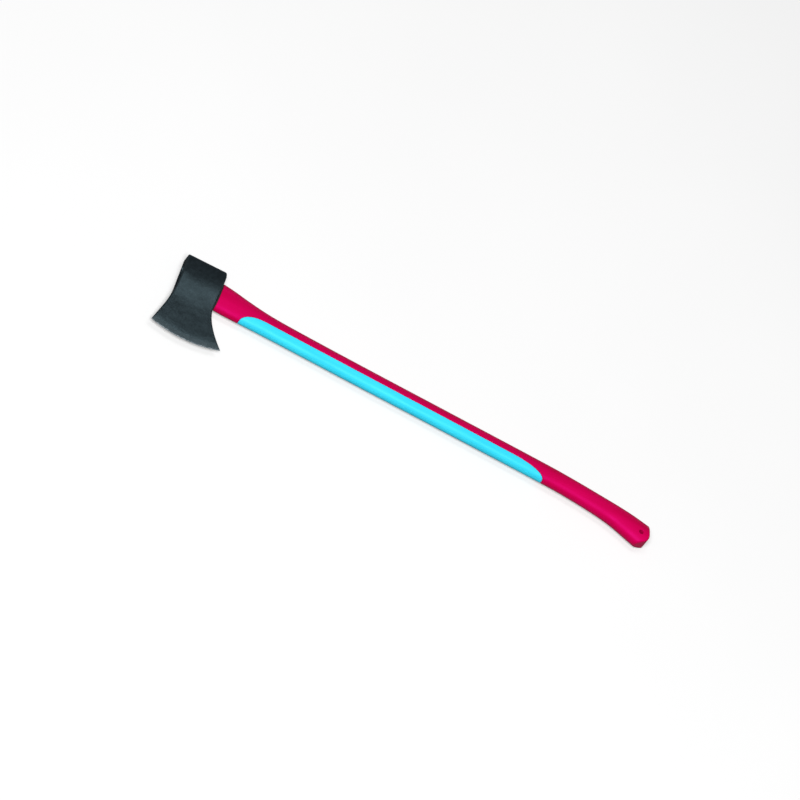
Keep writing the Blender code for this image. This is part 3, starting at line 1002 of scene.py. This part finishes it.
def pale_floor():
    """Plain, almost white floor like a dim light table, which throws little light onto the axe's sides."""
    material, tree, shader = new_material("pale_floor")
    cloud = noise(tree, 0.6, 2.0)
    seen = blend(tree, cloud, srgb(198, 198, 198), srgb(204, 204, 204))
    to_viewer = add(tree, "ShaderNodeLightPath").outputs["Is Camera Ray"]
    tree.links.new(blend(tree, to_viewer, srgb(140, 140, 140), seen), shader.inputs["Base Color"])
    shader.inputs["Emission Color"].default_value = (1.0, 1.0, 1.0, 1.0)
    tree.links.new(calculate(tree, "MULTIPLY", to_viewer, FLOOR_GLOW), shader.inputs["Emission Strength"])
    tree.links.new(remap(tree, cloud, 0.3, 0.7, 0.75, 0.85), shader.inputs["Roughness"])
    return material


# ---------------------------------------------------------------- studio

def make_floor():
    """Floor under the axe, which isn't part of it."""
    low, _ = (Vector(corner) for corner in CAD_BOUNDS)
    bpy.ops.mesh.primitive_plane_add(size=FLOOR_SIZE, location=(0.0, 0.0, low.z - FLOOR_GAP))
    floor = bpy.context.object
    floor.name = "floor"
    floor.data.materials.append(pale_floor())


def add_light(name, azimuth, elevation, distance, size, power):
    """Rectangular soft box aimed at the axe's middle from an azimuth and elevation in degrees."""
    lamp = bpy.data.lights.new(name, 'AREA')
    lamp.shape = 'RECTANGLE'
    lamp.size, lamp.size_y = size
    lamp.energy = power
    obj = bpy.data.objects.new(name, lamp)
    bpy.context.scene.collection.objects.link(obj)
    away = view_direction(azimuth, elevation)
    obj.location = away * distance
    obj.rotation_euler = away.to_track_quat('Z', 'Y').to_euler()


def view_direction(azimuth, elevation):
    """Unit vector from the axe towards a viewer; azimuth 0 is at -Y and turns towards +X."""
    turn, rise = math.radians(azimuth), math.radians(elevation)
    return Vector((math.sin(turn) * math.cos(rise), -math.cos(turn) * math.cos(rise), math.sin(rise)))


def make_lights():
    """Soft light from above and from the viewer's side, in a dim pale room."""
    add_light("overhead", 180.0, 77.0, 3.0, (1.6, 0.65), 15.0)
    add_light("front", -12.0, 61.0, 8.0, (4.0, 2.6), 680.0)
    world = bpy.data.worlds.new("studio")
    bpy.context.scene.world = world
    world.use_nodes = True
    background = world.node_tree.nodes["Background"]
    background.inputs["Color"].default_value = (1.0, 1.0, 1.0, 1.0)
    background.inputs["Strength"].default_value = 0.1


def make_camera():
    """Camera that sees the bit's side from above, a long way off with a long lens."""
    lens = bpy.data.cameras.new("camera")
    lens.lens = LENS
    lens.sensor_width = SENSOR
    lens.clip_end = 100.0
    camera = bpy.data.objects.new("camera", lens)
    bpy.context.scene.collection.objects.link(camera)
    away = view_direction(VIEW_AZIMUTH, VIEW_ELEVATION)
    look = away.to_track_quat('Z', 'Y').to_matrix().to_4x4()
    roll = Euler((0.0, 0.0, math.radians(VIEW_ROLL))).to_matrix().to_4x4()
    camera.matrix_world = look @ roll
    low, high = (Vector(corner) for corner in CAD_BOUNDS)
    aim = (low + high) / 2 + Vector(VIEW_AIM)
    camera.location = aim + away * VIEW_WIDTH * LENS / SENSOR
    bpy.context.scene.camera = camera


def main():
    """Build every piece, the floor, the light and the camera."""
    make_head(painted_steel())
    make_resin(epoxy())
    make_seal(black_rubber())
    make_rod(glass_fibre())
    make_jacket(blue_polypropylene())
    make_overmould(red_elastomer())
    make_floor()
    make_lights()
    make_camera()
    bpy.context.scene.view_settings.view_transform = 'Standard'
    bpy.context.view_layer.update()


main()
